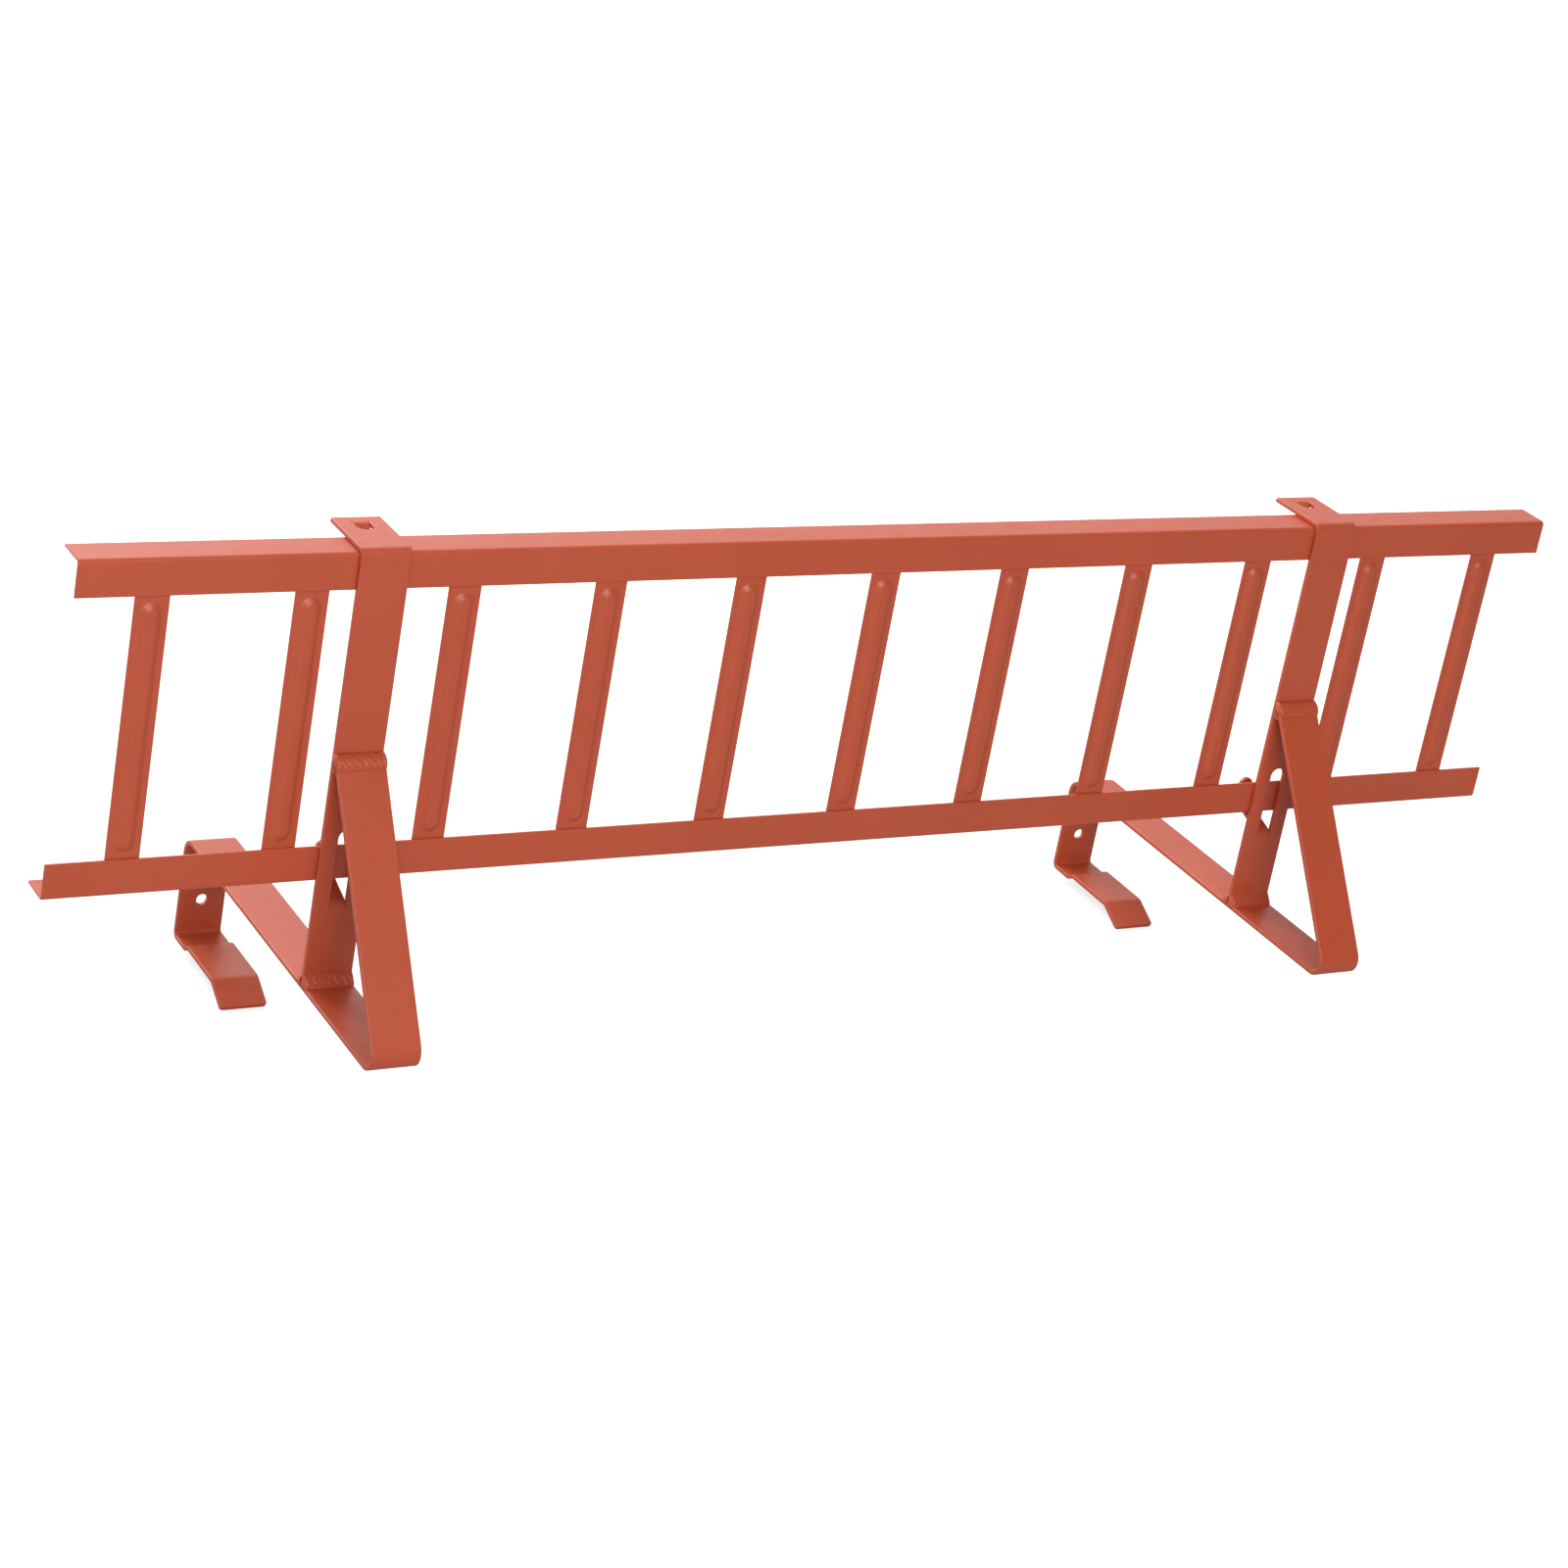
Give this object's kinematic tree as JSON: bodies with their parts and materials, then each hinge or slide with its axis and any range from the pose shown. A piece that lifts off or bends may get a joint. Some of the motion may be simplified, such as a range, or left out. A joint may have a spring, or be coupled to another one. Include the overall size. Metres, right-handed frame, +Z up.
{
  "type": "roof snow guard fence",
  "caption": "Lattice panel of angle rails and beaded rungs, carried by two welded roof hooks that slide along it and grip a batten.",
  "frame": {"origin": "midway between the two hooks, where the plane of the rear plates' front faces meets the plane of the bases' undersides", "axes": "+X along the panel to the right seen from the front, +Y up the roof from the brace noses to the rear plates, +Z up from the tile to the panel's top"},
  "size_m": [1, 0.2957, 0.3438],
  "materials": {
    "panel_paint": "satin brick red powder coat on formed steel sheet",
    "bracket_paint": "satin brick red powder coat on bent and welded flat steel bar"
  },
  "bodies": {
    "panel": {"top_rail": "panel_paint", "bottom_rail": "panel_paint", "rung_01": "panel_paint", "rung_02": "panel_paint", "rung_03": "panel_paint", "rung_04": "panel_paint", "rung_05": "panel_paint", "rung_06": "panel_paint", "rung_07": "panel_paint", "rung_08": "panel_paint", "rung_09": "panel_paint", "rung_10": "panel_paint", "rung_11": "panel_paint"},
    "left_bracket": {"left_upright": "bracket_paint", "left_hook_bar": "bracket_paint", "left_brace_weld": "bracket_paint", "left_brace_root_weld": "bracket_paint", "left_foot_weld_front": "bracket_paint", "left_foot_weld_rear": "bracket_paint"},
    "right_bracket": {"right_upright": "bracket_paint", "right_hook_bar": "bracket_paint", "right_brace_weld": "bracket_paint", "right_brace_root_weld": "bracket_paint", "right_foot_weld_front": "bracket_paint", "right_foot_weld_rear": "bracket_paint"}
  },
  "joints": [
    {"name": "left_bracket_slide", "type": "slide", "parent": "panel", "child": "left_bracket", "axis": [1, 0, 0], "range_m": [-0.018, 0.031]},
    {"name": "right_bracket_slide", "type": "slide", "parent": "panel", "child": "right_bracket", "axis": [1, 0, 0], "range_m": [-0.031, 0.018]}
  ]
}
